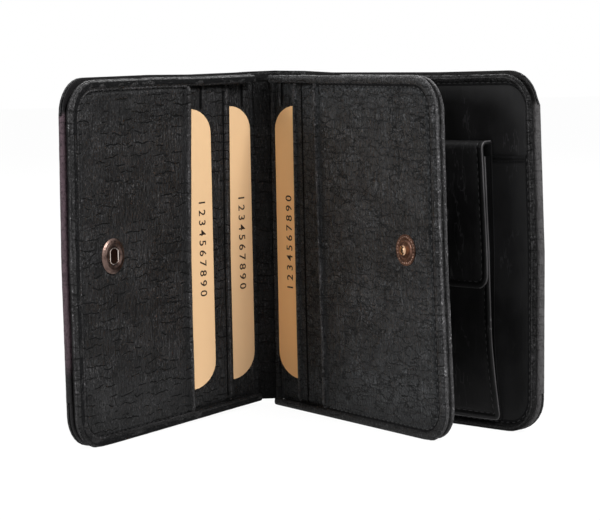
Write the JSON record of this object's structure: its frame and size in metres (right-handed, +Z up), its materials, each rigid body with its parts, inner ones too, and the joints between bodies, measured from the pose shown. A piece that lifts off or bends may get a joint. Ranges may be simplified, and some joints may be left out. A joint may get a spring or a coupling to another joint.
{
  "type": "card wallet",
  "caption": "Upright bifold leather card wallet standing open, with a centre leaf, card pockets, a press stud and a flapped coin pouch.",
  "frame": {"origin": "foot of the spine, midway between its folds and in the middle of the cover leather", "axes": "+Z up along the spine, +X along the spine's width to the right board, boards open to -Y"},
  "size_m": [0.1384, 0.0803, 0.106],
  "materials": {
    "cover_leather": "crackle grain, semi-matte",
    "panel_leather": "crackle grain, semi-matte",
    "lining": "matte",
    "card_stock": "matte",
    "copper": "antique copper"
  },
  "bodies": {
    "spine": {"spine_cover": "cover_leather", "spine_divider": "panel_leather"},
    "left_board": {"left_cover": "cover_leather", "left_cover_hem": "cover_leather", "left_bill_lining": "lining", "left_panel_back": "panel_leather", "left_pocket_inner": "panel_leather", "left_pocket_outer": "panel_leather", "left_binding": "panel_leather", "snap_socket_ring": "copper", "snap_socket_spring": "copper", "snap_socket_cap": "copper"},
    "left_card_outer": {"left_card_outer": "card_stock"},
    "left_card_inner": {"left_card_inner": "card_stock"},
    "leaf": {"leaf_hinge_strip": "panel_leather", "leaf_back_panel": "panel_leather", "leaf_backing": "panel_leather", "leaf_pocket_inner": "panel_leather", "leaf_pocket_outer": "panel_leather", "leaf_binding_front": "panel_leather", "leaf_binding_back": "panel_leather", "snap_stud": "copper", "snap_stud_rivet": "copper"},
    "leaf_card": {"leaf_card": "card_stock"},
    "right_board": {"right_cover": "cover_leather", "right_cover_hem": "cover_leather", "right_bill_lining": "lining", "right_panel_back": "panel_leather", "right_slip_pocket": "panel_leather", "right_binding": "panel_leather", "coin_pouch_back": "panel_leather", "coin_pouch_gusset": "panel_leather", "coin_pouch_front": "panel_leather", "pouch_snap_stud": "copper", "pouch_snap_rivet": "copper"},
    "coin_flap": {"coin_flap": "panel_leather", "flap_snap_cap": "copper", "flap_snap_socket": "copper"}
  },
  "joints": [
    {"name": "left_fold", "type": "hinge", "parent": "spine", "child": "left_board", "pos_m": [-0.00953, 0, 0], "axis": [0, 0, -1], "range_deg": [-39.25, 50.75]},
    {"name": "right_fold", "type": "hinge", "parent": "spine", "child": "right_board", "pos_m": [0.00953, 0, 0], "axis": [0, 0, 1], "range_deg": [-41.35, 48.65]},
    {"name": "leaf_turn", "type": "hinge", "parent": "spine", "child": "leaf", "pos_m": [-0.00095, -0.00245, 0], "axis": [0, 0, 1], "range_deg": [-29.05, 34.15]},
    {"name": "coin_flap_lift", "type": "hinge", "parent": "right_board", "child": "coin_flap", "pos_m": [0.0072, -0.00205, 0.0851], "axis": [-0.6607, 0.7507, 0], "range_deg": [0, 8]},
    {"name": "left_card_outer_slide", "type": "slide", "parent": "left_board", "child": "left_card_outer", "axis": [0.6327, 0.7744, 0], "range_m": [-0.006, 0.02]},
    {"name": "left_card_inner_slide", "type": "slide", "parent": "left_board", "child": "left_card_inner", "axis": [0.6327, 0.7744, 0], "range_m": [-0.006, 0.0004]},
    {"name": "leaf_card_slide", "type": "slide", "parent": "leaf", "child": "leaf_card", "axis": [-0.4848, 0.8746, 0], "range_m": [-0.006, 0.0001]}
  ],
  "couplings": [
    {"joint": "leaf_turn", "follows": "right_fold", "ratio": 0.7013}
  ]
}
